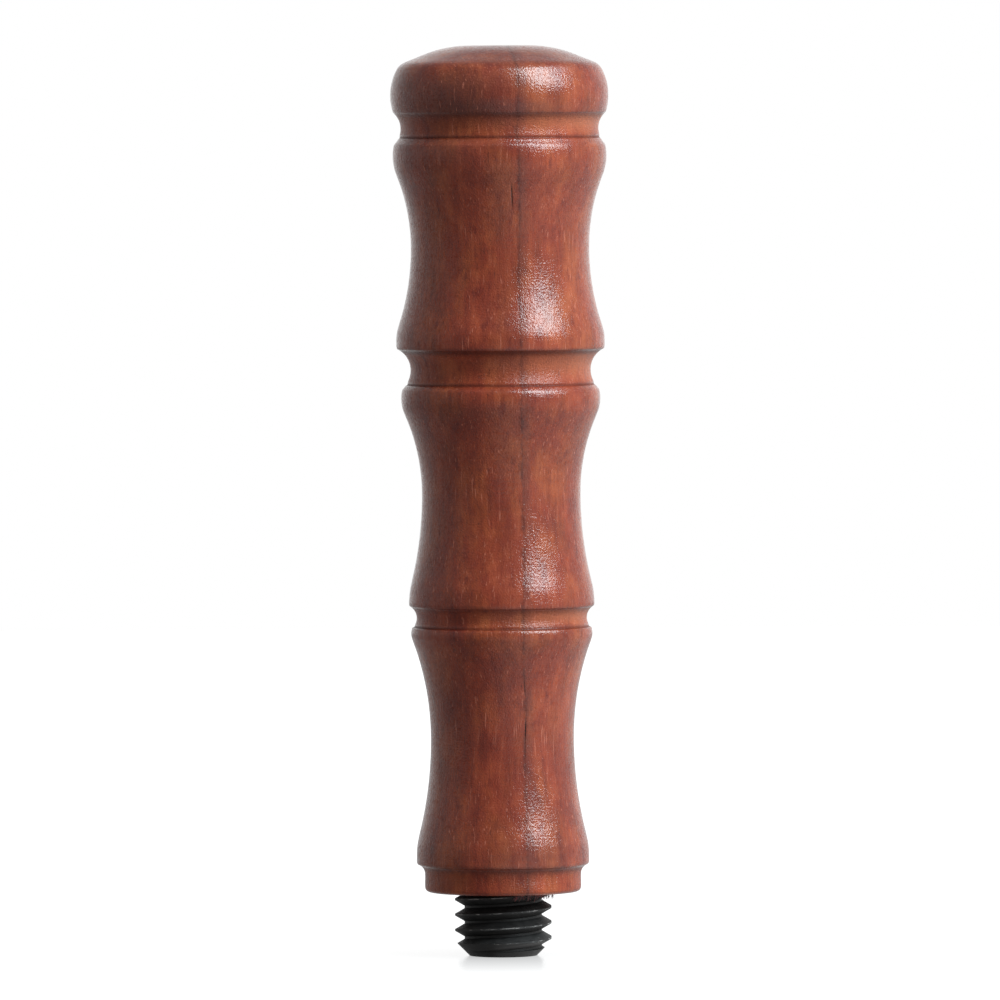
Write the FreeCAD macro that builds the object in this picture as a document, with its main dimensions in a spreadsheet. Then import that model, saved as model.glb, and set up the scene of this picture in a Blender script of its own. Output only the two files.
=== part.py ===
import FreeCAD, Part
import math
import os
import Sketcher
from FreeCAD import Vector

# Turned wooden tool handle with a short threaded stud in its foot.
#
# The handle is one piece of hardwood turned between centres: a foot collar, three waisted
# segments like the joints of bamboo, and a domed head.  Rings (a step and three grooves)
# part them.  A blind bore in the foot holds an M8 flat-point set screw, point outwards, and
# a sleeve of set adhesive fills the space between its thread and the bore.
#
# Millimetres, +Z up.  The origin is the middle of the stud's flat point, so the part stands
# on it.  Heights in the sheet are taken from the handle's foot, lengths of the stud from its
# flat point.

DIMENSIONS = [
    # ring: the smallest radius between two turned forms, and its height above the foot
    ("step_radius", 6.36), ("step_height", 1.45),
    ("low_groove_radius", 6.93), ("low_groove_height", 22.3),
    ("high_groove_radius", 7.33), ("high_groove_height", 42.5),
    ("neck_radius", 8.05), ("neck_height", 62.1),
    # segments: lip at the bottom, waist in the middle, bead at the top with a small rim
    ("lower_edge_height", 2.25),
    ("lower_lip_radius", 7.02), ("lower_lip_height", 3.0), ("lower_lip_round", 6.5),
    ("lower_waist_radius", 5.83), ("lower_waist_height", 12.5),
    ("lower_bead_radius", 7.39), ("lower_bead_height", 21.07), ("lower_bead_round", 1.45),
    ("lower_rim_height", 21.25),
    ("middle_edge_height", 23.3),
    ("middle_lip_radius", 7.54), ("middle_lip_height", 23.65), ("middle_lip_round", 6.2),
    ("middle_waist_radius", 6.46), ("middle_waist_height", 32.4),
    ("middle_bead_radius", 8.11), ("middle_bead_height", 40.17), ("middle_bead_round", 3.1),
    ("middle_rim_height", 40.66),
    ("upper_edge_height", 44.2),
    ("upper_lip_radius", 8.49), ("upper_lip_height", 44.85), ("upper_lip_round", 3.9),
    ("upper_waist_radius", 7.26), ("upper_waist_height", 52.4),
    ("upper_bead_radius", 8.70), ("upper_bead_height", 59.88), ("upper_bead_round", 4.2),
    ("upper_rim_height", 60.57), ("rim_round", 0.5),
    # head: belly, shoulder, sloping cap and a small flat at the top
    ("head_edge_height", 63.4),
    ("head_radius", 8.88), ("head_height", 64.8), ("head_round", 4.5),
    ("shoulder_round", 1.35), ("cap_angle", 22), ("cap_round", 10), ("cap_flat_radius", 2.4),
    ("handle_length", 68.85),
    ("lip_edge_round", 0.12), ("foot_edge_round", 0.4),
    # bore in the foot
    ("bore_diameter", 8.2), ("bore_depth", 15.6), ("drill_point_angle", 118),
    # M8 x 1.25 set screw, 20 long, black oxide
    ("stud_exposed", 5.2), ("stud_length", 20),
    ("thread_major_radius", 3.935), ("thread_minor_radius", 3.15), ("thread_pitch", 1.25),
    ("thread_crest_flat", 0.16), ("thread_flank_angle", 30), ("thread_phase", 0.825),
    ("stud_point_radius", 2.75),
    ("socket_across_flats", 4), ("socket_depth", 4),
    # adhesive sleeve, set back a little from the foot
    ("adhesive_setback", 0.15),
]
SIZE = dict(DIMENSIONS)
SEGMENTS = [("lower", "step", "low_groove"),
            ("middle", "low_groove", "high_groove"),
            ("upper", "high_groove", "neck")]

START, END, CENTRE = 1, 2, 3      # the points of a sketch's line or arc
VEE_OVERRUN = 0.3                 # how far a thread's cutter reaches outside the blank
ORIGIN, V_AXIS = -1, -2           # a sketch's own origin, on its level axis, and upright axis


def make_sheet(doc):
    """The driving dimensions, one named cell each."""
    sheet = doc.addObject("Spreadsheet::Sheet", "Dimensions")
    for row, (name, value) in enumerate(DIMENSIONS, start=1):
        sheet.set("A%d" % row, name)
        sheet.set("B%d" % row, str(value))
        sheet.setAlias("B%d" % row, name)
    return sheet


def cell(name):
    return "Dimensions." + name


def origin_plane(body, role):
    return next(f for f in body.Origin.OriginFeatures if f.Role == role)


def new_sketch(body, name, role="XZ_Plane"):
    sketch = body.newObject("Sketcher::SketchObject", name)
    sketch.AttachmentSupport = (origin_plane(body, role), [""])
    sketch.MapMode = "FlatFace"
    return sketch


def join(sketch, kind, *points):
    return sketch.addConstraint(Sketcher.Constraint(kind, *points))


def size(sketch, kind, where, value, expression):
    """A dimension of the sketch, bound to the sheet."""
    index = sketch.addConstraint(Sketcher.Constraint(kind, *where, value))
    sketch.setExpression("Constraints[%d]" % index, expression)


def place(sketch, geometry, point, x=None, y=None):
    """Put a point at a distance from the origin; x and y are (value, expression)."""
    for kind, where in (("DistanceX", x), ("DistanceY", y)):
        if where is not None:
            size(sketch, kind, (ORIGIN, 1, geometry, point), *where)


def line(x1, y1, x2, y2):
    return Part.LineSegment(Vector(x1, y1, 0), Vector(x2, y2, 0))


def arc(x, y, radius, from_angle, to_angle):
    circle = Part.Circle(Vector(x, y, 0), Vector(0, 0, 1), radius)
    return Part.ArcOfCircle(circle, from_angle, to_angle)


def sized(name):
    return SIZE[name], cell(name)


def set_in(form):
    """Radius of the centre of a form's outer arc: its largest radius less its rounding."""
    rim, rounding = form + "_radius", form + "_round"
    return SIZE[rim] - SIZE[rounding], "%s - %s" % (cell(rim), cell(rounding))


def tangent_sum(r1, z1, r2, z2):
    """Sum of the radii of two arcs that are upright at (r1, z1) and (r2, z2) and touch."""
    return ((r1 - r2) ** 2 + (z1 - z2) ** 2) / (2 * abs(r1 - r2))


def undercut(sketch, ring, edge, form):
    """The closed foot of a turned form: the flat at the ring below it, and the hollow arc
    that leaves the ring upright and ends at the form's lower edge.  Returns the flat, the
    arc and the angle at which the form's own arc starts."""
    ring_r, ring_z = SIZE[ring + "_radius"], SIZE[ring + "_height"]
    edge_z = SIZE[edge]
    rounding, form_z = SIZE[form + "_round"], SIZE[form + "_height"]
    start = math.asin((edge_z - form_z) / rounding)
    edge_r = SIZE[form + "_radius"] - rounding + rounding * math.cos(start)
    out, up = edge_r - ring_r, edge_z - ring_z
    hollow = (out ** 2 + up ** 2) / (2 * out)
    flat = sketch.addGeometry(line(0, ring_z, ring_r, ring_z))
    curve = sketch.addGeometry(arc(ring_r + hollow, ring_z, hollow,
                                   math.pi - math.asin(up / hollow), math.pi))
    join(sketch, "Coincident", flat, END, curve, END)
    join(sketch, "Horizontal", flat)
    join(sketch, "PointOnObject", flat, START, V_AXIS)
    join(sketch, "Horizontal", curve, CENTRE, curve, END)
    place(sketch, flat, END, sized(ring + "_radius"), sized(ring + "_height"))
    place(sketch, curve, START, y=sized(edge))
    return flat, curve, start


def close_on_axis(sketch, flat, top):
    """The turning axis, from the top line's inner end to the flat's."""
    axis = sketch.addGeometry(line(0, sketch.Geometry[top].EndPoint.y,
                                   0, sketch.Geometry[flat].StartPoint.y))
    join(sketch, "Horizontal", top)
    join(sketch, "Coincident", top, END, axis, START)
    join(sketch, "Coincident", axis, END, flat, START)
    join(sketch, "PointOnObject", axis, START, V_AXIS)


def segment_sketch(body, name, below, above):
    """Half section of one waisted segment, from the ring below it to the ring above."""
    sketch = new_sketch(body, name + "_section")
    lip, waist, bead = name + "_lip", name + "_waist", name + "_bead"
    flat, hollow, start = undercut(sketch, below, name + "_edge_height", lip)

    lip_r, lip_z = SIZE[lip + "_radius"], SIZE[lip + "_height"]
    waist_r, waist_z = SIZE[waist + "_radius"], SIZE[waist + "_height"]
    bead_r, bead_z = SIZE[bead + "_radius"], SIZE[bead + "_height"]
    ring_r, ring_z = SIZE[above + "_radius"], SIZE[above + "_height"]
    lip_round, bead_round = SIZE[lip + "_round"], SIZE[bead + "_round"]
    rim_round, rim_z = SIZE["rim_round"], SIZE[name + "_rim_height"]
    rim_turn = math.asin((rim_z - bead_z) / (bead_round - rim_round))
    rim_r = bead_r - (bead_round - rim_round) * (1 - math.cos(rim_turn))
    low_sum = tangent_sum(lip_r, lip_z, waist_r, waist_z)
    high_sum = tangent_sum(waist_r, waist_z, bead_r, bead_z)
    ring_sum = tangent_sum(rim_r, rim_z, ring_r, ring_z)
    low_turn = math.asin((waist_z - lip_z) / low_sum)
    high_turn = math.asin((bead_z - waist_z) / high_sum)
    ring_turn = math.asin((ring_z - rim_z) / ring_sum)

    lip_arc = sketch.addGeometry(arc(lip_r - lip_round, lip_z, lip_round, start, low_turn))
    low_arc = sketch.addGeometry(arc(waist_r + low_sum - lip_round, waist_z,
                                     low_sum - lip_round, math.pi, math.pi + low_turn))
    high_arc = sketch.addGeometry(arc(waist_r + high_sum - bead_round, waist_z,
                                      high_sum - bead_round, math.pi - high_turn, math.pi))
    bead_arc = sketch.addGeometry(arc(bead_r - bead_round, bead_z, bead_round,
                                      -high_turn, rim_turn))
    rim_arc = sketch.addGeometry(arc(rim_r - rim_round, rim_z, rim_round, rim_turn, ring_turn))
    ring_arc = sketch.addGeometry(arc(ring_r + ring_sum - rim_round, ring_z,
                                      ring_sum - rim_round, math.pi, math.pi + ring_turn))
    top = sketch.addGeometry(line(ring_r, ring_z, 0, ring_z))

    join(sketch, "Coincident", hollow, START, lip_arc, START)
    join(sketch, "Tangent", lip_arc, END, low_arc, END)
    join(sketch, "Coincident", low_arc, START, high_arc, END)
    join(sketch, "Tangent", high_arc, START, bead_arc, START)
    join(sketch, "Tangent", bead_arc, END, rim_arc, START)
    join(sketch, "Tangent", rim_arc, END, ring_arc, END)
    join(sketch, "Coincident", ring_arc, START, top, START)
    for curve, upright in ((low_arc, START), (high_arc, END), (ring_arc, START)):
        join(sketch, "Horizontal", curve, CENTRE, curve, upright)
    close_on_axis(sketch, flat, top)

    for curve, form in ((lip_arc, lip), (bead_arc, bead)):
        place(sketch, curve, CENTRE, set_in(form), sized(form + "_height"))
        size(sketch, "Radius", (curve,), *sized(form + "_round"))
    place(sketch, rim_arc, CENTRE, y=sized(name + "_rim_height"))
    size(sketch, "Radius", (rim_arc,), *sized("rim_round"))
    place(sketch, low_arc, START, sized(waist + "_radius"), sized(waist + "_height"))
    place(sketch, top, START, sized(above + "_radius"), sized(above + "_height"))
    return sketch


def head_sketch(body):
    """Half section of the domed head, from the neck ring to the top."""
    sketch = new_sketch(body, "head_section")
    flat, hollow, start = undercut(sketch, "neck", "head_edge_height", "head")

    belly_round, shoulder_round = SIZE["head_round"], SIZE["shoulder_round"]
    belly = Vector(SIZE["head_radius"] - belly_round, SIZE["head_height"], 0)
    slope = math.radians(SIZE["cap_angle"])
    cap_round, cap_r, top_z = SIZE["cap_round"], SIZE["cap_flat_radius"], SIZE["handle_length"]
    normal = Vector(math.sin(slope), math.cos(slope), 0)
    downhill = Vector(math.cos(slope), -math.sin(slope), 0)
    cap_centre = Vector(cap_r, top_z - cap_round, 0)
    cap_end = cap_centre + normal * cap_round
    # the shoulder's centre lies below the sloping line and touches the belly from inside
    above = cap_end - normal * shoulder_round - belly
    reach = belly_round - shoulder_round
    half = above.dot(downhill)
    slope_length = -half + math.sqrt(half ** 2 - above.dot(above) + reach ** 2)
    shoulder = belly + above + downhill * slope_length
    slope_start = shoulder + normal * shoulder_round
    meet = math.atan2(shoulder.y - belly.y, shoulder.x - belly.x)

    belly_arc = sketch.addGeometry(arc(belly.x, belly.y, belly_round, start, meet))
    shoulder_arc = sketch.addGeometry(arc(shoulder.x, shoulder.y, shoulder_round,
                                          meet, math.pi / 2 - slope))
    slope_line = sketch.addGeometry(line(slope_start.x, slope_start.y, cap_end.x, cap_end.y))
    cap_arc = sketch.addGeometry(arc(cap_centre.x, cap_centre.y, cap_round,
                                     math.pi / 2 - slope, math.pi / 2))
    top = sketch.addGeometry(line(cap_r, top_z, 0, top_z))

    join(sketch, "Coincident", hollow, START, belly_arc, START)
    join(sketch, "Tangent", belly_arc, END, shoulder_arc, START)
    join(sketch, "Tangent", shoulder_arc, END, slope_line, START)
    join(sketch, "Tangent", slope_line, END, cap_arc, START)
    join(sketch, "Coincident", cap_arc, END, top, START)
    join(sketch, "Vertical", cap_arc, CENTRE, cap_arc, END)
    close_on_axis(sketch, flat, top)

    place(sketch, belly_arc, CENTRE, set_in("head"), sized("head_height"))
    size(sketch, "Radius", (belly_arc,), *sized("head_round"))
    size(sketch, "Radius", (shoulder_arc,), *sized("shoulder_round"))
    size(sketch, "Radius", (cap_arc,), *sized("cap_round"))
    size(sketch, "Angle", (slope_line,), math.pi - slope, "180 deg - %s * 1 deg" % cell("cap_angle"))
    place(sketch, top, START, sized("cap_flat_radius"), sized("handle_length"))
    return sketch


def revolve(body, sketch, name):
    turned = body.newObject("PartDesign::Revolution", name)
    turned.Profile = sketch
    turned.ReferenceAxis = (sketch, ["V_Axis"])
    turned.Angle = 360
    return turned


def circle_edges(feature, height):
    """Names of the feature's full circles at a height."""
    return ["Edge%d" % number for number, edge in enumerate(feature.Shape.Edges, start=1)
            if isinstance(edge.Curve, Part.Circle) and edge.isClosed()
            and abs(edge.Curve.Center.z - height) < 1e-4]


def round_edges(doc, body, name, heights, cell_name):
    doc.recompute()
    base = body.Tip
    edges = [edge for height in heights for edge in circle_edges(base, height)]
    fillet = body.newObject("PartDesign::Fillet", name)
    fillet.Base = (base, edges)
    fillet.setExpression("Radius", cell(cell_name))


def turned_handle(doc):
    body = doc.addObject("PartDesign::Body", "turned_handle")
    body.Label = "turned_handle"

    foot = new_sketch(body, "foot_outline", "XY_Plane")
    rim = foot.addGeometry(Part.Circle(Vector(0, 0, 0), Vector(0, 0, 1), SIZE["step_radius"]))
    join(foot, "Coincident", rim, CENTRE, ORIGIN, 1)
    size(foot, "Radius", (rim,), *sized("step_radius"))
    collar = body.newObject("PartDesign::Pad", "foot_collar")
    collar.Profile = foot
    collar.setExpression("Length", cell("step_height"))

    for name, below, above in SEGMENTS:
        revolve(body, segment_sketch(body, name, below, above), name + "_segment")
    revolve(body, head_sketch(body), "head")

    forms = [name for name, _, _ in SEGMENTS] + ["head"]
    round_edges(doc, body, "lip_edges", [SIZE[form + "_edge_height"] for form in forms],
                "lip_edge_round")
    round_edges(doc, body, "foot_edge", [0], "foot_edge_round")

    mouth = new_sketch(body, "bore_mouth", "XY_Plane")
    ring = mouth.addGeometry(Part.Circle(Vector(0, 0, 0), Vector(0, 0, 1),
                                         SIZE["bore_diameter"] / 2))
    join(mouth, "Coincident", ring, CENTRE, ORIGIN, 1)
    size(mouth, "Diameter", (ring,), *sized("bore_diameter"))
    doc.recompute()
    bore = body.newObject("PartDesign::Hole", "stud_bore")
    bore.Profile = mouth
    bore.Reversed = True
    bore.ThreadType = "None"
    bore.DepthType = "Dimension"
    bore.DrillPoint = "Angled"
    bore.setExpression("Diameter", cell("bore_diameter"))
    bore.setExpression("Depth", cell("bore_depth"))
    bore.setExpression("DrillPointAngle", cell("drill_point_angle"))

    body.setExpression("Placement.Base.z", cell("stud_exposed"))
    return body


def stud_blank_sketch(body):
    """Half section of the screw blank: flat point outwards, a 45 degree chamfer at each end."""
    sketch = new_sketch(body, "blank_section")
    major, minor, length = (SIZE["thread_major_radius"], SIZE["thread_minor_radius"],
                            SIZE["stud_length"])
    point = SIZE["stud_point_radius"]
    corners = [(0, 0), (point, 0), (major, major - point),
               (major, length - (major - minor)), (minor, length), (0, length)]
    count = len(corners)
    for this, after in zip(corners, corners[1:] + corners[:1]):
        sketch.addGeometry(line(*this, *after))
    for number in range(1, count):
        join(sketch, "Coincident", number - 1, END, number, START)
    join(sketch, "Coincident", count - 1, END, 0, START)
    face, point_bevel, side, inner_bevel, end_face, axis = range(count)
    join(sketch, "Coincident", face, START, ORIGIN, 1)
    join(sketch, "Horizontal", face)
    join(sketch, "Vertical", side)
    join(sketch, "Horizontal", end_face)
    join(sketch, "Vertical", axis)
    for bevel, angle in ((point_bevel, 45), (inner_bevel, 135)):
        size(sketch, "Angle", (bevel,), math.radians(angle), "%d deg" % angle)
    place(sketch, face, END, sized("stud_point_radius"))
    place(sketch, side, START, sized("thread_major_radius"))
    place(sketch, end_face, START, sized("thread_minor_radius"), sized("stud_length"))
    return sketch


def thread_vee(body, name, tip, tip_width, base, middle):
    """The vee that a helical cut follows: tip_width across at the radius tip, opening at the
    thread's flank angle to the radius base.  Each measure is (value, expression)."""
    sketch = new_sketch(body, name)
    flank = math.tan(math.radians(SIZE["thread_flank_angle"]))
    base_width = (tip_width[0] + 2 * abs(base[0] - tip[0]) * flank,
                  "(%s + 2 * abs(%s - (%s)) * tan(%s * 1 deg))"
                  % (tip_width[1], base[1], tip[1], cell("thread_flank_angle")))
    corners = [(radius, (middle[0] + side * width[0] / 2,
                         "%s + %d * %s / 2" % (middle[1], side, width[1])))
               for radius, width, side in ((tip, tip_width, -1), (base, base_width, -1),
                                           (base, base_width, 1), (tip, tip_width, 1))]
    for this, after in zip(corners, corners[1:] + corners[:1]):
        sketch.addGeometry(line(this[0][0], this[1][0], after[0][0], after[1][0]))
    for number, (radius, height) in enumerate(corners):
        join(sketch, "Coincident", number, END, (number + 1) % len(corners), START)
        place(sketch, number, START, radius, height)
    return sketch


def cut_thread(doc, body, name, vee, height):
    doc.recompute()
    thread = body.newObject("PartDesign::SubtractiveHelix", name)
    thread.Profile = vee
    thread.ReferenceAxis = (vee, ["V_Axis"])
    thread.Mode = "pitch-height-angle"
    thread.LeftHanded = False
    thread.setExpression("Pitch", cell("thread_pitch"))
    thread.setExpression("Height", height)


def root_width():
    """Width of the thread groove's flat root."""
    flank = math.tan(math.radians(SIZE["thread_flank_angle"]))
    depth = SIZE["thread_major_radius"] - SIZE["thread_minor_radius"]
    value = SIZE["thread_pitch"] - SIZE["thread_crest_flat"] - 2 * depth * flank
    names = ("thread_pitch", "thread_crest_flat", "thread_major_radius",
             "thread_minor_radius", "thread_flank_angle")
    return value, "(%s - %s - 2 * (%s - %s) * tan(%s * 1 deg))" % tuple(map(cell, names))


def threaded_stud(doc):
    body = doc.addObject("PartDesign::Body", "threaded_stud")
    body.Label = "threaded_stud"
    revolve(body, stud_blank_sketch(body), "screw_blank")
    outside = (SIZE["thread_major_radius"] + VEE_OVERRUN,
               "%s + %g" % (cell("thread_major_radius"), VEE_OVERRUN))
    middle = (SIZE["thread_phase"] - 2 * SIZE["thread_pitch"],
              "%s - 2 * %s" % (cell("thread_phase"), cell("thread_pitch")))
    groove = thread_vee(body, "thread_groove", sized("thread_minor_radius"), root_width(),
                        outside, middle)
    cut_thread(doc, body, "right_hand_thread", groove,
               "%s + 4 * %s" % (cell("stud_length"), cell("thread_pitch")))

    socket = new_sketch(body, "socket_outline", "XY_Plane")
    corner_radius = SIZE["socket_across_flats"] / math.sqrt(3)
    turns = [math.radians(60 * side) for side in range(6)]
    corners = [(corner_radius * math.cos(turn), corner_radius * math.sin(turn)) for turn in turns]
    for this, after in zip(corners, corners[1:] + corners[:1]):
        socket.addGeometry(line(*this, *after))
    reach = socket.addGeometry(Part.Circle(Vector(0, 0, 0), Vector(0, 0, 1), corner_radius), True)
    join(socket, "Coincident", reach, CENTRE, ORIGIN, 1)
    for side in range(6):
        join(socket, "Coincident", side, END, (side + 1) % 6, START)
        join(socket, "PointOnObject", side, START, reach)
    for side in range(1, 6):
        join(socket, "Equal", 0, side)
    join(socket, "PointOnObject", 0, START, ORIGIN)
    size(socket, "Radius", (reach,), corner_radius, cell("socket_across_flats") + " / sqrt(3)")
    socket.setExpression("AttachmentOffset.Base.z", cell("stud_length"))
    doc.recompute()
    pocket = body.newObject("PartDesign::Pocket", "hex_socket")
    pocket.Profile = socket
    pocket.setExpression("Length", cell("socket_depth"))
    return body


def thread_adhesive(doc):
    """A sleeve that fills the bore round the screw's thread, as far in as the screw goes."""
    body = doc.addObject("PartDesign::Body", "thread_adhesive")
    body.Label = "thread_adhesive"
    ring = new_sketch(body, "sleeve_ring", "XY_Plane")
    for radius, expression in ((SIZE["bore_diameter"] / 2, cell("bore_diameter") + " / 2"),
                               sized("thread_minor_radius")):
        circle = ring.addGeometry(Part.Circle(Vector(0, 0, 0), Vector(0, 0, 1), radius))
        join(ring, "Coincident", circle, CENTRE, ORIGIN, 1)
        size(ring, "Radius", (circle,), radius, expression)
    ring.setExpression("AttachmentOffset.Base.z",
                       "%s + %s" % (cell("stud_exposed"), cell("adhesive_setback")))
    sleeve = body.newObject("PartDesign::Pad", "sleeve")
    sleeve.Profile = ring
    sleeve.setExpression("Length", "%s - %s - %s" % (cell("stud_length"), cell("stud_exposed"),
                                                      cell("adhesive_setback")))
    crest = (SIZE["thread_crest_flat"], cell("thread_crest_flat"))
    inside = (SIZE["thread_minor_radius"] - root_width()[0] / 2,
              "%s - %s / 2" % (cell("thread_minor_radius"), root_width()[1]))
    middle = (SIZE["thread_phase"] + 1.5 * SIZE["thread_pitch"],
              "%s + 1.5 * %s" % (cell("thread_phase"), cell("thread_pitch")))
    ridge = thread_vee(body, "thread_ridge", sized("thread_major_radius"), crest, inside, middle)
    cut_thread(doc, body, "thread_print", ridge, cell("stud_length"))
    return body


def check(doc, parts):
    """Stop if anything in the document failed, or a part isn't one valid solid."""
    failed = [item.Label for item in doc.Objects
              if "Invalid" in item.State or "Error" in item.State]
    if failed:
        raise RuntimeError("failed to recompute: " + ", ".join(failed))
    for item in parts:
        shape = item.Shape
        if shape.isNull() or not shape.isValid() or len(shape.Solids) != 1:
            raise RuntimeError(item.Label + " isn't one valid solid")


def main():
    doc = FreeCAD.newDocument("tool_handle")
    make_sheet(doc)
    doc.recompute()
    handle = turned_handle(doc)
    stud = threaded_stud(doc)
    adhesive = thread_adhesive(doc)
    doc.recompute()
    parts = [handle, stud, adhesive]
    check(doc, parts)
    os.makedirs("parts", exist_ok=True)
    for item in parts:
        item.Shape.exportStep("parts/%s.step" % item.Label)
        print(item.Label, "%.1f mm3" % item.Shape.Volume, item.Shape.BoundBox)


main()
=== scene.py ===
import math

import bpy
import numpy as np
from mathutils import Euler, Matrix, Vector


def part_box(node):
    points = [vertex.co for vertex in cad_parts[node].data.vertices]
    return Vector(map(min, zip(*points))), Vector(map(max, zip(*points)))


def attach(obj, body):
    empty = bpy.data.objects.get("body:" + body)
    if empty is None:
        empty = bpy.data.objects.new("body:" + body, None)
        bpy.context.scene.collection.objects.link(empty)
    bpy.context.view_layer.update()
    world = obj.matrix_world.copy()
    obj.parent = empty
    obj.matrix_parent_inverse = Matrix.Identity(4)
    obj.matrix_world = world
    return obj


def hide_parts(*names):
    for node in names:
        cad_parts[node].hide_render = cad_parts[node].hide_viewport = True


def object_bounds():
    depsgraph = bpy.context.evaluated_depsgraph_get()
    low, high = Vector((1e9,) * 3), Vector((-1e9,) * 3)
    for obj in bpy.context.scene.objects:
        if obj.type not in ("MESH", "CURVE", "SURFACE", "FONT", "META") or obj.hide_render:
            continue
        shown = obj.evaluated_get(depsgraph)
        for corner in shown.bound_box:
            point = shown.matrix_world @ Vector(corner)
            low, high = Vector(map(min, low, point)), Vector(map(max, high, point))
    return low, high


# Turned hardwood handle with a black-oxide threaded stud, standing on the stud's flat point.
# The handle is lathed again, finer, from the CAD node's own outline, with turning marks, grain,
# a drying check down the front and incised lines in its surface.  The handle, its fibres and
# the textures are worked out in millimetres; the scene, its lights and its camera in metres.
# Heights are above the stud's point.  The camera looks along +Y.

MM = 0.001
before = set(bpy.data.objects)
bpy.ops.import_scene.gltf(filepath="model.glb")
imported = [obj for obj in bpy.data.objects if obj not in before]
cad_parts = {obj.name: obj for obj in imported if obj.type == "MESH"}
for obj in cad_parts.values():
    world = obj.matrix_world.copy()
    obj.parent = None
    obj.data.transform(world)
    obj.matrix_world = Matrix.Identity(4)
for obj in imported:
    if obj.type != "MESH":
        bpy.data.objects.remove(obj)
cad_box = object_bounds()


# ---------------------------------------------------------------- outline of the CAD handle

LEVEL = 0.001                    # mm: heights this close are the same flat
CROWDED = 0.03                   # mm: points of the outline closer than this count as one
CURVE_STEP = 0.005               # mm: the outline's curve is sampled this often
RING_TURN = math.radians(5)      # a ring of vertices wherever the outline has turned this far,
SKIN_RING, BORE_RING = 0.25, 0.8       # mm: and at least this often, outside and in the bore
FINE_RING, FINE_REACH = 0.03, 0.30     # mm: outside, this often so near to an incised line
COARSE_COLUMNS = (4, 353, 2.0)   # degrees from the check: first column, end and step
FINE_COLUMNS = (-6, 3, 0.3)      # and beside the check and the pore


def outline_points(node):
    """The CAD handle's outline as (radius, height) pairs from its vertices, in millimetres:
    the outside from the bore's mouth over the foot, side and head to the axis, and the bore
    from its mouth up to the axis."""
    co = np.array([v.co for v in node.data.vertices]) / MM
    points = np.column_stack([np.hypot(co[:, 0], co[:, 1]), co[:, 2]])
    points = np.unique(np.round(points, 4), axis=0)
    low, high = points[:, 1].min(), points[:, 1].max()
    mouth = points[points[:, 1] < low + LEVEL][:, 0].min()
    in_bore = (points[:, 0] < mouth + LEVEL) & (points[:, 1] < (low + high) / 2)
    bore, skin = points[in_bore], points[~in_bore]
    bore = bore[np.lexsort((-bore[:, 0], bore[:, 1]))]
    foot = skin[skin[:, 1] < low + LEVEL]
    cap = skin[skin[:, 1] > high - LEVEL]
    side = skin[(skin[:, 1] >= low + LEVEL) & (skin[:, 1] <= high - LEVEL)]
    skin = np.vstack([[[mouth, low]], foot[np.argsort(foot[:, 0])],
                      side[np.argsort(side[:, 1])], cap[np.argsort(-cap[:, 0])],
                      [[0, high]]])
    return skin, bore


def thinned(points):
    """The points with any that crowd the one before them, or the last, left out."""
    kept = [points[0]]
    for point in points[1:-1]:
        if min(np.hypot(*(point - kept[-1])), np.hypot(*(point - points[-1]))) > CROWDED:
            kept.append(point)
    return np.array(kept + [points[-1]])


def smooth_curve(points):
    """A cubic curve through the points, sampled evenly along it."""
    chord = np.hypot(*np.diff(points, axis=0).T)
    at = np.concatenate([[0], np.cumsum(chord)])
    slope = np.diff(points, axis=0) / chord[:, None]
    inner = ((slope[:-1] * chord[1:, None] + slope[1:] * chord[:-1, None])
             / (chord[:-1] + chord[1:])[:, None])
    tangent = np.vstack([slope[:1], inner, slope[-1:]])
    where = np.linspace(0, at[-1], int(at[-1] / CURVE_STEP) + 1)
    span = np.clip(np.searchsorted(at, where, side="right") - 1, 0, len(chord) - 1)
    u = ((where - at[span]) / chord[span])[:, None]
    size = chord[span][:, None]
    return ((2 * u**3 - 3 * u**2 + 1) * points[span] + (u**3 - 2 * u**2 + u) * size * tangent[span]
            + (3 * u**2 - 2 * u**3) * points[span + 1] + (u**3 - u**2) * size * tangent[span + 1])


def evenly_turned(points, longest, fine_at=()):
    """Keep a point wherever the curve has turned or run far enough since the last, and closer
    ones near the heights fine_at."""
    steps = np.diff(points, axis=0)
    heading = np.unwrap(np.arctan2(steps[:, 1], steps[:, 0]))
    length = np.hypot(*steps.T)
    kept, turned, run = [0], 0.0, 0.0
    for number in range(1, len(points) - 1):
        turned += abs(heading[number] - heading[number - 1])
        run += length[number - 1]
        near = any(abs(points[number, 1] - height) < FINE_REACH for height in fine_at)
        if turned >= RING_TURN or run >= (FINE_RING if near else longest):
            kept.append(number)
            turned, run = 0.0, 0.0
    return points[kept + [len(points) - 1]]


# ---------------------------------------------------------------- relief of the turned wood

# All in millimetres, but for strengths, which run from 0 to 1.
CHECK_OFFSET = (1.98, -0.0078)   # the check's plane is this far to the right of the axis at the
                                 # stud's point, and this much further per mm of height
CHECK_WANDER = (0.16, 4.0)       # it wanders this far from side to side, over this height
CHECK_HEAD = (8.6, 66.1)         # on the head, above the second, it runs to the middle as if
                                 # the radius were the first
CHECK_HALF_WIDTH = 0.045
CHECK_START = (12, 4)            # it begins at the first height, and is full the second above
CHECK_FADE = 3.5                 # on the cap it fades from this radius to the axis
CHECK_OPEN = (14.4, 23.4, 2)     # heights between which it has opened, over the third at each
                                 # end
CHECK_BREAKS = (1.1, 2.2, 0.7)   # height of each piece of the open stretch, and how sharply
                                 # and how often it closes between them
CHECK_FAINT, CHECK_DEEP = 0.003, 0.06  # depth of the faint line, and what opening adds
CHECK_SHADE_DEPTH = 0.05               # painted black, as shade inside the open check, at this depth
CREASE_HEIGHTS = (26.87, 46.55, 66.60)  # incised line at the top of each bead
CREASE_HALF_WIDTH = 0.10
CREASE_DEPTH = 0.075
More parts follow.
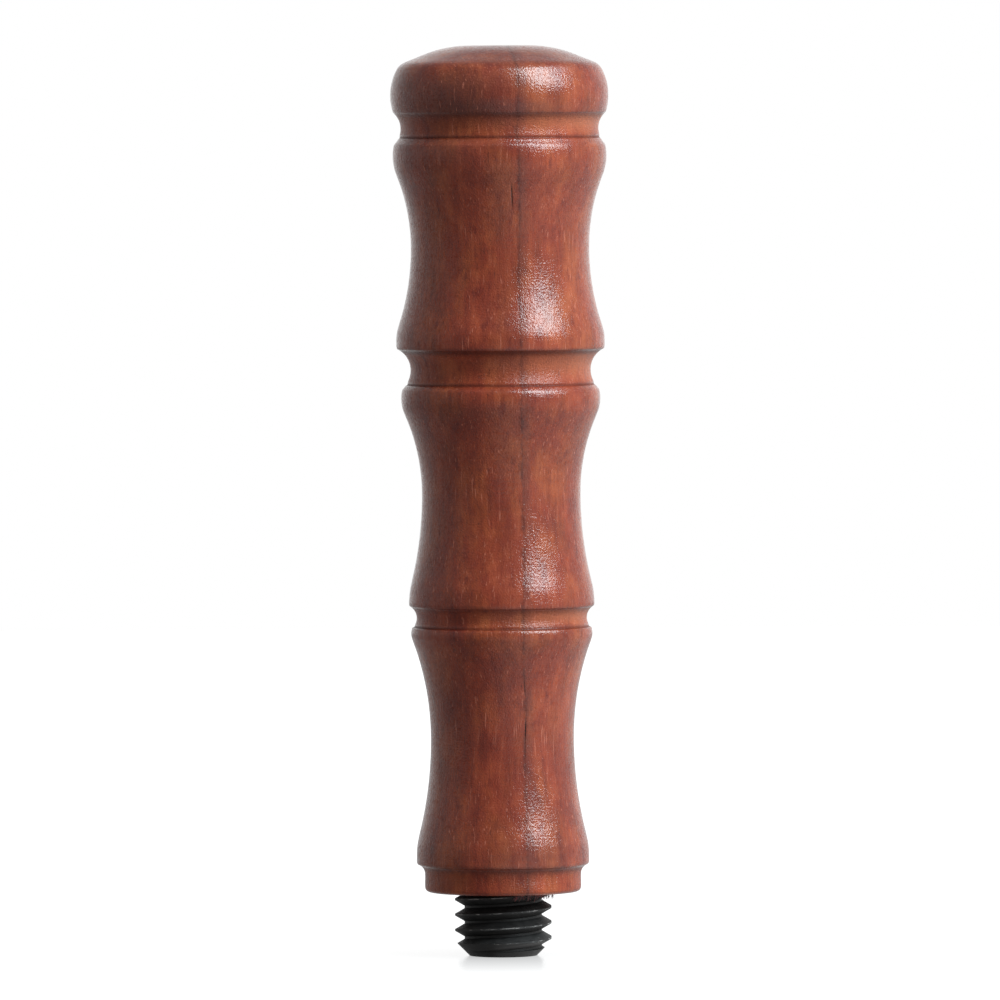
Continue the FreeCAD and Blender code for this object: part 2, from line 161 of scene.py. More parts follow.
HOLLOWS = ((5.2, 7.3, 0.6), (26.95, 28.4, 0.5), (46.6, 49.3, 1.0), (66.7, 68.5, 0.6))
                                 # heights between which the wood is hollow, less sanded and thinly
                                 # lacquered, and how strong the painted shade under the lip is near
                                 # the top,
LIP_SHADE_PLACE = (0.08, 0.24)          # which is this far below the top, fading over the second
HOLLOW_EDGES = (0.2, 0.1)        # a hollow's marks fade in over the first at the bottom, and
                                 # over the second at the top
LIT_GROOVE_SPREAD = (1.8, 0.3, 10)        # painted light: a hollow is painted paler on its way up, this many times as fast; in the middle it is the second, and grows by 1 over the third to the right, the side the key light falls on
                                 # the middle it is the second, and grows by 1 over the third
                                 # to the right
PORE = (-4.2, 61.8, 0.06, 0.9)   # degrees from the check, height, half width, half height
PORE_DEPTH = 0.05
# painted shade in patches on the front, mostly on its shaded left: x, height, half width,
# half height and strength, all of it this far in front of the axis and none behind it
SHADE_PATCH_FRONT = 2
SHADE_PATCHES = ((-2.6, 70.8, 4.4, 1.5, 0.42), (-4.2, 68.9, 3.8, 1.5, 0.40),
          (-3.4, 65.3, 2.8, 1.1, 0.32), (-2.2, 44.5, 2.4, 0.8, 0.28),
          (0.5, 68.95, 4.5, 0.60, 0.40), (-3.3, 18.9, 1.6, 2.4, 0.20),
          (2.0, 8.3, 3.4, 1.3, 0.36))
DARKER_CAP = (71.9, 0.9, 0.36)    # the head's sloping cap is darker, from the first height over the second, up to this strength
                                 # height over the second, up to this strength
GRAIN_SIZE = (0.5, 0.5, 6.0)     # raised grain, long up the handle
MARK_SIZE = (9.0, 9.0, 0.45)     # turning marks, long round it
RELIEF = 0.003                   # height of each
SKIN_SUNK = 0.010                # keeps the highest grain inside the CAD surface,
LEAST_SUNK = 0.0005              # and this is the least that any of it is sunk
OFF_CHECK = 9.0                  # "check" in the bore and on the axis: out of its reach
LATTICE = 64                     # the random fields repeat after this many features
WANDER_SEED, BREAK_SEED, GRAIN_SEED, MARK_SEED, FIBRE_SEED = 11, 12, 21, 22, 5


def soft_noise(points, seed):
    """Smooth random field from -1 to 1, one feature to each unit of the points."""
    lattice = np.random.default_rng(seed).uniform(-1, 1, (LATTICE, LATTICE, LATTICE))
    base = np.floor(points).astype(int)
    t = points - base
    t = t * t * (3 - 2 * t)
    total = np.zeros(points.shape[:-1])
    for corner in np.ndindex(2, 2, 2):
        index = (base + corner) % LATTICE
        weight = np.prod(np.where(np.array(corner) == 1, t, 1 - t), axis=-1)
        total += weight * lattice[index[..., 0], index[..., 1], index[..., 2]]
    return total


def along(heights, spacing, seed):
    """Smooth random value at each height, from 0 to 1."""
    flat = np.zeros_like(heights)
    return 0.5 + 0.5 * soft_noise(np.stack([flat, flat, heights / spacing], axis=-1), seed)


def check_azimuth(radii, heights):
    """Azimuth of the drying check: it lies in a plane along the fibres, beside the axis, and
    wanders a little from it."""
    held, head = CHECK_HEAD
    offset = CHECK_OFFSET[0] + CHECK_OFFSET[1] * heights
    wander, spacing = CHECK_WANDER
    offset = offset + wander * (along(heights, spacing, WANDER_SEED) - 0.5)
    return np.arcsin(offset / np.where(heights > head, held, radii)) - math.pi / 2


def check_depth(radii, heights):
    """Depth of the check: open in places low down, and only a faint line elsewhere."""
    low, high, over = CHECK_OPEN
    opened = np.clip((heights - low) / over, 0, 1) * np.clip((high - heights) / over, 0, 1)
    spacing, sharp, closed = CHECK_BREAKS
    broken = np.clip(along(heights, spacing, BREAK_SEED) * sharp - closed, 0, 1)
    start, rise = CHECK_START
    return np.clip((heights - start) / rise, 0, 1) * np.clip(radii / CHECK_FADE, 0, 1) * (
        CHECK_FAINT + CHECK_DEEP * opened * broken)


def hollow(heights):
    """1 in the hollow between a crease and the lip above it, and 0 elsewhere."""
    bottom, top = HOLLOW_EDGES
    return sum(np.clip((heights - low) / bottom, 0, 1) * np.clip((high - heights) / top, 0, 1)
               for low, high, _ in HOLLOWS)


def lit_groove(place):
    """Painted light: how much paler each groove is high up, most of all on the right."""
    heights = place[..., 2]
    up = sum(np.clip((heights - low) / (high - low), 0, 1) * (heights < high)
             for low, high, _ in HOLLOWS[1:])
    steep, midway, across = LIT_GROOVE_SPREAD
    right = np.clip(midway + place[..., 0] / across, 0, 1)
    return hollow(heights) * np.clip(steep * up, 0, 1) * right


def shade_patches_and_cap(place):
    """Strength of the painted shade: in patches on the front, and a darker sloping cap."""
    x, y, z = (place[..., axis] for axis in range(3))
    spots = np.clip(-y / SHADE_PATCH_FRONT, 0, 1) * sum(
        strength * np.exp(-((x - at) / width) ** 2 - ((z - height) / half) ** 2)
        for at, height, width, half, strength in SHADE_PATCHES)
    bottom, rise, most = DARKER_CAP
    return np.maximum(spots, most * np.clip((z - bottom) / rise, 0, 1))


def lip_shade(heights):
    """Strength of the painted shade under the lip at the top of each hollow, fading downwards."""
    below, half = LIP_SHADE_PLACE
    return sum(strength * np.exp(-((heights - high + below) / half) ** 2)
               for _, high, strength in HOLLOWS)


def relief(x, y, z):
    """Height of the wood's own texture."""
    place = np.stack([x, y, z], axis=-1)
    return (RELIEF * soft_noise(place / GRAIN_SIZE, GRAIN_SEED)
            + RELIEF * soft_noise(place / MARK_SIZE, MARK_SEED))


def surface(skin, columns):
    """The outside's vertices in millimetres, ring by ring, and how each is marked for the
    stained wood to read.  "check" is the distance to the right of the check."""
    radii, heights = skin[:-1, 0][:, None], skin[:-1, 1][:, None]
    step = np.gradient(skin, axis=0)[:-1]
    inward = np.column_stack([-step[:, 1], step[:, 0]])
    inward /= np.hypot(*inward.T)[:, None]
    angle = columns + check_azimuth(radii, heights)
    away = np.where(columns > math.pi, columns - 2 * math.pi, columns) * radii

    check = np.exp(-(away / CHECK_HALF_WIDTH) ** 2) * check_depth(radii, heights)
    level = 0 * columns
    crease = level + sum(np.exp(-((heights - line) / CREASE_HALF_WIDTH) ** 2)
                         for line in CREASE_HEIGHTS)
    turn, height, half_width, half_height = PORE
    pore = np.exp(-((columns - math.radians(turn) - 2 * math.pi) * radii / half_width) ** 2
                  - ((heights - height) / half_height) ** 4)
    sunk = (SKIN_SUNK + check + CREASE_DEPTH * crease + PORE_DEPTH * pore
            - relief(radii * np.cos(angle), radii * np.sin(angle), heights + 0 * angle))
    sunk = np.maximum(sunk, LEAST_SUNK)
    r, z = radii + inward[:, :1] * sunk, heights + inward[:, 1:] * sunk
    place = np.stack([r * np.cos(angle), r * np.sin(angle), z], axis=-1)
    marks = {"check": away, "shaded_opening": np.maximum(check / CHECK_SHADE_DEPTH, pore), "crease": crease,
             "hollow": hollow(heights) + level, "lip_shade": lip_shade(heights) + level,
             "lit_groove": lit_groove(place), "shade_patches_and_cap": shade_patches_and_cap(place)}
    return place, marks


def lathe_faces(outside, inside, around):
    """Faces over the outside's rings and then the bore's, with so many vertices around.  Each
    ends in a fan on the axis; the bore starts at the outside's first ring."""
    def ring(number):
        return number * around + np.arange(around)

    top = (outside + inside) * around
    faces = []
    for low in range(outside - 1):
        faces += quads(ring(low), ring(low + 1))
    faces += fan(ring(outside - 1), top)
    up = [ring(0)] + [ring(outside + number) for number in range(inside)]
    for low, high in zip(up, up[1:]):
        faces += quads(high, low)
    return faces + fan(up[-1][::-1], top + 1)


def lathe(name):
    """The handle as one closed mesh: outside, and the bore inside."""
    skin, bore = outline_points(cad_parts["turned_handle"])
    skin = evenly_turned(smooth_curve(thinned(skin)), SKIN_RING, CREASE_HEIGHTS)
    bore = evenly_turned(thinned(bore), BORE_RING)
    coarse, fine = np.arange(*COARSE_COLUMNS), np.arange(*FINE_COLUMNS) % 360
    columns = np.radians(np.sort(np.concatenate([coarse, fine])))
    place, marks = surface(skin, columns)

    # the bore's columns run straight up from where the check meets its mouth
    start = columns + check_azimuth(skin[:1, :1], skin[:1, 1:])
    wall = np.stack([bore[1:-1, :1] * np.cos(start), bore[1:-1, :1] * np.sin(start),
                     bore[1:-1, 1:] + 0 * start], axis=-1)
    outside, inside, around = len(place), len(wall), len(columns)
    vertices = np.concatenate([place.reshape(-1, 3), wall.reshape(-1, 3),
                               [[0, 0, skin[-1, 1] - SKIN_SUNK], [0, 0, bore[-1, 1]]]]) * MM

    mesh = bpy.data.meshes.new(name)
    mesh.from_pydata(vertices.tolist(), [], lathe_faces(outside, inside, around))
    spare = np.zeros(inside * around + 2)
    for attribute, values in marks.items():
        rest = spare + (OFF_CHECK if attribute == "check" else 0)
        values = np.concatenate([values.ravel(), rest])
        mesh.attributes.new(attribute, "FLOAT", "POINT").data.foreach_set("value", values)
    mesh.shade_smooth()
    return piece_from(name, mesh)


def quads(low, high):
    """Four-sided faces between two rings of vertices."""
    return [tuple(int(v) for v in face)
            for face in zip(low, np.roll(low, -1), np.roll(high, -1), high)]


def fan(ring, middle):
    """Triangles from a ring of vertices to one in its middle."""
    return [(int(a), int(b), middle) for a, b in zip(ring, np.roll(ring, -1))]


def piece_from(name, mesh):
    piece = bpy.data.objects.new(name, mesh)
    bpy.context.scene.collection.objects.link(piece)
    return piece


# ---------------------------------------------------------------- torn fibres at the bore's mouth

# Millimetres, each value between its two limits.
FIBRES = 80
FIBRE_AZIMUTH = (-76.0, -4.0)    # degrees: the side of the mouth where the fibres tore out
FIBRE_ROOT = (-0.15, 0.12)       # how far out from the mouth's edge it starts,
FIBRE_BURIED = 0.03              # and how far up in the wood
LEAN_OUT, LEAN_SIDE = (-0.7, 0.4), (-1.1, 1.1)     # how far it leans, while it drops by
FIBRE_DROP = 0.75
CURL_SIDE, CURL_OUT = (-0.5, 0.5), (-0.3, 0.3)     # how far it bends by its tip, times
FIBRE_CURL = 0.6                 # this much of its length
FIBRE_LENGTH = (0.40, 0.85)
FIBRE_WIDTH = (0.08, 0.19)
FIBRE_FLAT = 0.5                 # its thickness over its width
FIBRE_TAPER = 0.6                # power of the distance from its tip
FIBRE_RINGS = np.linspace(0, 0.9, 5)   # where along it, in lengths


def sliver(rng, mouth):
    """The rings of one curled fibre, root first, four corners each."""
    azimuth = math.radians(rng.uniform(*FIBRE_AZIMUTH))
    out = np.array([math.cos(azimuth), math.sin(azimuth), 0])
    side = np.array([-out[1], out[0], 0])
    at = (out * (mouth[0] + rng.uniform(*FIBRE_ROOT))
          + np.array([0, 0, mouth[1] + FIBRE_BURIED]))
    lean = out * rng.uniform(*LEAN_OUT) + side * rng.uniform(*LEAN_SIDE) - (0, 0, FIBRE_DROP)
    lean /= np.linalg.norm(lean)
    curl = side * rng.uniform(*CURL_SIDE) + out * rng.uniform(*CURL_OUT)
    length, width = rng.uniform(*FIBRE_LENGTH), rng.uniform(*FIBRE_WIDTH)
    rings = []
    for u in FIBRE_RINGS:
        middle = at + lean * length * u + curl * length * u * u * FIBRE_CURL
        across = width * (1 - u) ** FIBRE_TAPER / 2
        rings.append([middle + side * across, middle + out * across * FIBRE_FLAT,
                      middle - side * across, middle - out * across * FIBRE_FLAT])
    return rings


def torn_fibres(name):
    """Curled slivers of wood round part of the bore's mouth, torn out as the stud went in."""
    rng = np.random.default_rng(FIBRE_SEED)
    mouth = outline_points(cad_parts["turned_handle"])[0][0]
    vertices, faces = [], []
    for _ in range(FIBRES):
        rings = []
        for corners in sliver(rng, mouth):
            rings.append(len(vertices) + np.arange(len(corners)))
            vertices += corners
        for low, high in zip(rings, rings[1:]):
            faces += quads(high, low)
        faces += [tuple(int(v) for v in rings[0]), tuple(int(v) for v in rings[-1][::-1])]
    mesh = bpy.data.meshes.new(name)
    mesh.from_pydata((np.array(vertices) * MM).tolist(), [], faces)
    return piece_from(name, mesh)


# ---------------------------------------------------------------- node helpers

class Shader:
    """A node tree, with one short call for each kind of node used here."""

    def __init__(self, tree):
        self.tree = tree
        tree.nodes.clear()

    def add(self, kind, **settings):
        made = self.tree.nodes.new(kind)
        for name, value in settings.items():
            setattr(made, name, value)
        return made

    def put(self, socket, value):
        if isinstance(value, bpy.types.NodeSocket):
            self.tree.links.new(value, socket)
        elif isinstance(value, tuple) and socket.type == "RGBA":
            socket.default_value = (*value, 1)
        elif socket.type == "RGBA":
            socket.default_value = (value, value, value, 1)
        else:
            socket.default_value = value

    def math(self, operation, *values):
        made = self.add("ShaderNodeMath", operation=operation)
        for socket, value in zip(made.inputs, values):
            self.put(socket, value)
        return made.outputs[0]

    def vector(self, operation, *values):
        made = self.add("ShaderNodeVectorMath", operation=operation)
        for socket, value in zip(made.inputs, values):
            self.put(socket, value)
        return made.outputs["Value" if operation == "LENGTH" else "Vector"]

    def apart(self, vector):
        made = self.add("ShaderNodeSeparateXYZ")
        self.put(made.inputs[0], vector)
        return made.outputs

    def millimetres(self):
        """Where on the object, in millimetres."""
        place = self.add("ShaderNodeTexCoord").outputs["Object"]
        return self.vector("MULTIPLY", place, (1 / MM, 1 / MM, 1 / MM))

    def noise(self, place, scale, detail=2.0, rough=0.5, output="Fac"):
        """Noise with so many features per millimetre along x, y and z."""
        made = self.add("ShaderNodeTexNoise")
        self.put(made.inputs["Vector"], self.vector("MULTIPLY", place, scale))
        made.inputs["Scale"].default_value = 1.0
        made.inputs["Detail"].default_value = detail
        made.inputs["Roughness"].default_value = rough
        return made.outputs[output]

    def ramp(self, value, *stops):
        """The value looked up between stops, each a position and a grey or a colour."""
        made = self.add("ShaderNodeValToRGB")
        self.put(made.inputs["Fac"], value)
        points = made.color_ramp.elements
        while len(points) < len(stops):
            points.new(0.5)
        for point, (at, colour) in zip(points, stops):
            point.position = at
            point.color = (*colour, 1) if isinstance(colour, tuple) else (colour,) * 3 + (1,)
        return made.outputs["Color"]

    def mix(self, factor, a, b):
        made = self.add("ShaderNodeMix", data_type="RGBA")
        for socket, value in ((made.inputs[0], factor), (made.inputs[6], a), (made.inputs[7], b)):
            self.put(socket, value)
        return made.outputs[2]

    def mixed_shaders(self, factor, a, b):
        made = self.add("ShaderNodeMixShader")
        for socket, value in zip(made.inputs, (factor, a, b)):
            self.put(socket, value)
        return made.outputs[0]

    def emission(self, colour, strength=1.0):
        made = self.add("ShaderNodeEmission")
        self.put(made.inputs["Color"], colour)
        self.put(made.inputs["Strength"], strength)
        return made.outputs[0]

    def weighted(self, *terms):
        """A half, plus each value's distance from a half times its weight."""
        total = 0.5
        for value, weight in terms:
            total = self.math("ADD", self.math("MULTIPLY", self.math("SUBTRACT", value, 0.5),
                                               weight), total)
        return total

    def attribute(self, name):
        return self.add("ShaderNodeAttribute", attribute_name=name).outputs["Fac"]

    def bump(self, height, distance, normal=None):
        made = self.add("ShaderNodeBump")
        self.put(made.inputs["Height"], height)
        made.inputs["Distance"].default_value = distance
        if normal is not None:
            self.put(made.inputs["Normal"], normal)
        return made.outputs[0]


def material(name):
    """A new material, its shader helper and its surface shader."""
    made = bpy.data.materials.new(name)
    made.use_nodes = True
    s = Shader(made.node_tree)
    surface_shader = s.add("ShaderNodeBsdfPrincipled")
    output = s.add("ShaderNodeOutputMaterial")
    s.put(output.inputs["Surface"], surface_shader.outputs[0])
    return made, s, surface_shader.inputs


def paint(piece, made):
    piece.data.materials.clear()
    piece.data.materials.append(made)


# ---------------------------------------------------------------- materials

# Each noise below is given by its scale, detail and roughness, and each ramp by its stops.
WAVER_SCALE, WAVER = (0.2, 0.2, 0.05), (1.6, 1.6, 0.0)   # the grain wavers, by so many mm
WOOD_RED = ((0.28, (0.125, 0.018, 0.012)), (0.50, (0.228, 0.036, 0.016)),
            (0.72, (0.345, 0.067, 0.026)))
WOOD_ORANGE = ((0.28, (0.130, 0.024, 0.012)), (0.50, (0.262, 0.053, 0.018)),
               (0.72, (0.385, 0.096, 0.034)))
DARK_SPOT = (0.110, 0.013, 0.009)
LIT_GROOVE_COLOUR, PAINTED_SHADE_COLOUR = (0.48, 0.155, 0.076), (0.042, 0.017, 0.018)
BLACK_PORE, PALE_HAIR = (0.050, 0.009, 0.007), (0.50, 0.16, 0.10)
SMUDGED = (0.115, 0.030, 0.022)
BESIDE_CHECK, CHECK_LINE, CHECK_INSIDE_SHADE = (
    (0.100, 0.018, 0.012), (0.048, 0.010, 0.008), (0.020, 0.005, 0.004))
CREASE_SHADE, LIP_SHADE_COLOUR = (0.050, 0.009, 0.006), (0.055, 0.013, 0.011)


def wood_colour(s, place, streak):
    """Red and orange tones along the grain, dark spots, pores and pale hairs, painted light high
    in the grooves, painted shade in patches on the front, and a darker cap."""
    mottle = s.noise(place, (0.20, 0.20, 0.11), 4, 0.6)
    patch = s.noise(place, (0.8, 0.8, 0.42), 3, 0.55)
    fibre = s.noise(place, (6.0, 6.0, 0.45), 3, 0.6)
    weft = s.noise(place, (0.7, 0.7, 1.9), 3, 0.6)
    tone = s.weighted((mottle, 0.50), (patch, 0.45), (streak, 0.35), (fibre, 0.22), (weft, 0.15))
    # painted light: a little lighter all through the hollows, where the grooves catch light
    tone = s.math("ADD", tone, s.math("MULTIPLY", s.attribute("hollow"), 0.05))
    warm = s.ramp(s.noise(place, (0.35, 0.35, 0.16), 3, 0.6), (0.44, 0.0), (0.62, 0.85))
    colour = s.mix(warm, s.ramp(tone, *WOOD_RED), s.ramp(tone, *WOOD_ORANGE))
    spots = s.ramp(s.noise(place, (1.3, 1.3, 0.55), 3, 0.6), (0.58, 0.0), (0.72, 0.60))
    colour = s.mix(spots, colour, DARK_SPOT)
    # painted light: paler high in each groove, most on the right where the key light falls
    colour = s.mix(s.math("MULTIPLY", s.attribute("lit_groove"), 0.6), colour, LIT_GROOVE_COLOUR)
    # painted shade in patches on the front, and the darker cap
    colour = s.mix(s.attribute("shade_patches_and_cap"), colour, PAINTED_SHADE_COLOUR)
    pores = s.ramp(s.noise(place, (7.0, 7.0, 0.7), 2), (0.66, 0.0), (0.76, 0.6))
    colour = s.mix(pores, colour, BLACK_PORE)
    hairs = s.ramp(s.noise(place, (8.0, 8.0, 0.35), 1), (0.25, 0.60), (0.35, 0.0))
    return s.mix(hairs, colour, PALE_HAIR)


def check_marks(s, place, colour):
    """The colour with a smudge to the right of the check, a darker band to its left, the
    check's own dark line, and painted shade, black, where it is open."""
    ragged = s.math("SUBTRACT", s.noise(place, (3.5, 3.5, 0.9), 3), 0.5)
    beside = s.math("ADD", s.attribute("check"), s.math("MULTIPLY", ragged, 0.45))
    smudge = s.ramp(s.math("MULTIPLY", beside, 0.5), (0.0, 0.0), (0.03, 1.0), (0.28, 0.7),
                    (0.46, 0.0))
    patchy = s.ramp(s.noise(place, (0.1, 0.1, 0.40), 3, 0.6), (0.36, 0.25), (0.60, 0.62))
    colour = s.mix(s.math("MULTIPLY", smudge, patchy), colour, SMUDGED)
    band = s.ramp(s.math("MULTIPLY", s.math("ABSOLUTE", s.math("ADD", beside, 1.1)), 0.5),
                  (0.25, 0.22), (0.80, 0.0))
    colour = s.mix(band, colour, BESIDE_CHECK)
    line = s.ramp(s.math("ABSOLUTE", beside), (0.02, 0.55), (0.24, 0.0))
    broken = s.ramp(s.noise(place, (0.1, 0.1, 0.9), 3, 0.6), (0.40, 0.15), (0.58, 1.0))
    colour = s.mix(s.math("MULTIPLY", line, broken), colour, CHECK_LINE)
    # painted shade: black inside the open check and the pore
    return s.mix(s.math("MULTIPLY", s.attribute("shaded_opening"), 0.9), colour, CHECK_INSIDE_SHADE)


def lacquered(s, place):
    """The lacquer's surface: orange peel, grit and turned rings, and torn grain in hollows."""
    torn = s.math("MULTIPLY", s.noise(place, (3.0, 3.0, 5.5), 3, 0.7), s.attribute("hollow"))
    bump = s.bump(s.noise(place, (7.5, 7.5, 6.0), 2), 0.034 * MM)
    bump = s.bump(s.noise(place, (11.0, 11.0, 9.0), 2, 0.7), 0.006 * MM, bump)
    bump = s.bump(s.noise(place, (0.5, 0.5, 6.0), 2), 0.012 * MM, bump)
    return s.bump(torn, 0.060 * MM, bump)


def lacquer_left(s, place):
    """How much lacquer there is: less in specks, hollows and incised lines."""
    thin = s.ramp(s.noise(place, (7.0, 7.0, 3.5), 2), (0.50, 0.0), (0.64, 0.55))
    thin = s.math("MAXIMUM", thin, s.math("MULTIPLY", s.attribute("hollow"), 0.6))
    thin = s.math("MAXIMUM", thin, s.math("MULTIPLY", s.attribute("crease"), 0.9))
    return s.math("SUBTRACT", 1.0, thin)


def stained_wood():
    """Close-grained hardwood, red-brown stain under clear lacquer."""
    made, s, look = material("stained_wood")
    place = s.millimetres()
    waver = s.vector("MULTIPLY", s.noise(place, WAVER_SCALE, 2, output="Color"), WAVER)
    place = s.vector("ADD", place, waver)
    streak = s.noise(place, (1.5, 1.5, 0.10), 4, 0.6)
    colour = check_marks(s, place, wood_colour(s, place, streak))
    # painted shade in the incised lines
    colour = s.mix(s.math("MULTIPLY", s.attribute("crease"), 0.6), colour, CREASE_SHADE)
    # painted shade under each lip, at the top of the hollows
    colour = s.mix(s.math("MULTIPLY", s.attribute("lip_shade"), 0.7), colour, LIP_SHADE_COLOUR)
    s.put(look["Base Color"], colour)
    bump = lacquered(s, place)
    s.put(look["Normal"], bump)
    s.put(look["Coat Normal"], bump)
    s.put(look["Roughness"], s.ramp(streak, (0.3, 0.42), (0.7, 0.55)))
    look["Specular IOR Level"].default_value = 0.12
    s.put(look["Coat Weight"], lacquer_left(s, place))
    look["Coat Roughness"].default_value = 0.045
    look["Coat IOR"].default_value = 1.5
    return made


def torn_wood():
    """Bare wood torn across its fibres, soaked with stain."""
    made, s, look = material("torn_wood")
    place = s.millimetres()
    tone = s.noise(place, (6.0, 6.0, 6.0), 3)
    s.put(look["Base Color"], s.ramp(tone, (0.35, (0.045, 0.012, 0.014)),
                                     (0.65, (0.190, 0.050, 0.050))))
    s.put(look["Roughness"], s.ramp(tone, (0.3, 0.5), (0.7, 0.8)))
    s.put(look["Normal"], s.bump(s.noise(place, (18.0, 18.0, 18.0), 2), 0.02 * MM))
    return made


THREAD_PITCH = 1.25              # mm
THREAD_ROOT = 3.15               # mm: radius
THREAD_PHASE = 0.168             # turns: where a crest passes the front, above the point
OXIDE = ((0.3, (0.012, 0.012, 0.012)), (0.7, (0.026, 0.025, 0.024)))
DARKER_ROOT, BARE_STEEL = (0.003, 0.003, 0.003), (0.30, 0.29, 0.28)


def rubbed(s, place, radius):
    """Where the oxide is off: a broken hairline along the thread's crest, and a few chips."""
    x, y, z = s.apart(place)
    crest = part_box("threaded_stud")[1].x / MM
    turn = s.math("DIVIDE", s.math("ARCTAN2", y, x), 2 * math.pi)
    climb = s.math("SUBTRACT", s.math("DIVIDE", z, THREAD_PITCH), turn)
    # a crest is at half a turn, and ten whole turns keep the sum above 0
    phase = s.math("FRACT", s.math("ADD", climb, 10.5 - THREAD_PHASE))
    off = s.math("MULTIPLY", s.math("SUBTRACT", phase, 0.5), THREAD_PITCH)
    ragged = s.math("SUBTRACT", s.noise(place, (4.0, 4.0, 4.0), 3), 0.5)
    line = s.math("ABSOLUTE", s.math("ADD", off, s.math("MULTIPLY", ragged, 0.10)))
    line = s.ramp(line, (0.015, 1.0), (0.045, 0.0))
    broken = s.ramp(s.noise(place, (0.9, 0.9, 1.2), 4, 0.7), (0.48, 0.0), (0.62, 1.0))
    high = s.math("GREATER_THAN", radius, crest - 0.12)
    worn = s.math("MULTIPLY", s.math("MULTIPLY", line, broken), high)
    chips = s.ramp(s.noise(place, (5.0, 5.0, 9.0), 2), (0.70, 0.0), (0.76, 1.0))
    edge = s.math("GREATER_THAN", radius, crest - 0.35)
    return s.math("MAXIMUM", worn, s.math("MULTIPLY", chips, s.math("MULTIPLY", edge, 0.7)))


def black_oxide():
    """Oiled black oxide on steel, rubbed bright along the thread's crest."""
    made, s, look = material("black_oxide_steel")
    place = s.millimetres()
    radius = s.vector("LENGTH", s.vector("MULTIPLY", place, (1.0, 1.0, 0.0)))
    worn = rubbed(s, place, radius)
    grime = s.noise(place, (2.0, 2.0, 2.0), 4, 0.6)
    # darker towards the thread's root
    root = s.ramp(s.math("SUBTRACT", radius, THREAD_ROOT - 0.5), (0.5, 0.75), (0.78, 0.0))
    colour = s.mix(root, s.ramp(grime, *OXIDE), DARKER_ROOT)
    s.put(look["Base Color"], s.mix(worn, colour, BARE_STEEL))
    s.put(look["Roughness"], s.ramp(grime, (0.3, 0.46), (0.7, 0.64)))
    look["Specular IOR Level"].default_value = 0.4
    tool = s.noise(place, (0.8, 0.8, 12.0), 3)
    s.put(look["Normal"], s.bump(grime, 0.02 * MM, s.bump(tool, 0.012 * MM)))
    return made


def set_adhesive():
    """Set adhesive with wood dust in it."""
    made, s, look = material("set_adhesive")
    place = s.millimetres()
    dust = s.noise(place, (6.0, 6.0, 6.0), 4, 0.6)
    s.put(look["Base Color"], s.ramp(dust, (0.35, (0.05, 0.010, 0.010)),
                                     (0.7, (0.20, 0.055, 0.045))))
    s.put(look["Roughness"], s.ramp(dust, (0.3, 0.25), (0.7, 0.5)))
    s.put(look["Normal"], s.bump(dust, 0.03 * MM))
    return made


# ---------------------------------------------------------------- studio

FLOOR_RADIUS, FLOOR_SIDES = 0.6, 96
FLOOR_SEEN, FLOOR_MATT = 1.1, 0.08        # its own light to the camera, and its matt colour
FLOOR_GLOSS = 0.16                        # roughness of the glossy spot round the foot, which
GLOSS_REACH = 27.0                        # ends this many millimetres away
GLOSS_STOPS = ((0.10, 0.50), (1.0, 0.0))  # and how strong it is on the way

# azimuth and height of each lamp are in degrees, to the right of the camera and up
KEY = {"azimuth": 56.0, "height": 40.0, "size": (0.34, 0.50), "distance": 0.62,
       "radiance": 12.6}
RIM = {"azimuth": 92.0, "height": 52.0, "size": (0.25, 0.25), "distance": 0.6, "radiance": 2.0}
LAMP_COLOUR = (0.90, 1.02, 1.08)

# light arriving level from each bearing, as (degrees to the right of the camera, radiance)
LEVEL_LIGHT = ((-180, 1.0), (-152, 0.72), (-128, 0.46), (-74, 0.39), (-36, 0.18), (-4, 0.14),
               (15, 0.13), (36, 0.27), (74, 0.52), (97, 0.62), (128, 0.62), (152, 0.98), (180, 1.0))
# light thrown up by the floor on each side of the object
FLOOR_LIGHT = ((-180, 0.6), (-120, 0.35), (-60, 0.21), (-18, 0.20), (-8, 0.44), (30, 0.72),
               (90, 0.78), (135, 0.70), (180, 0.6))
HIGH_LIGHT = 0.28                         # from overhead, at every bearing,
HIGH_STOPS = ((0.25, 0.0), (0.65, 1.0))   # taking over between these heights on a unit sphere

# Camera: metres, degrees and millimetres of lens
CAMERA_PLACE = (-0.0001, -0.9755, 0.070)
CAMERA_PITCH, CAMERA_ROLL = -1.9325, -0.28
LENS, SENSOR = 432.0, 36.0
CLIP = (0.05, 20.0)


def by_bearing(s, x, y, stops):
    """The value at a bearing round the object, in degrees to the right of the camera."""
    bearing = s.math("ARCTAN2", x, s.math("MULTIPLY", y, -1.0))
    part = s.math("ADD", s.math("DIVIDE", bearing, 2 * math.pi), 0.5)
    return s.ramp(part, *((degrees / 360 + 0.5, value) for degrees, value in stops))


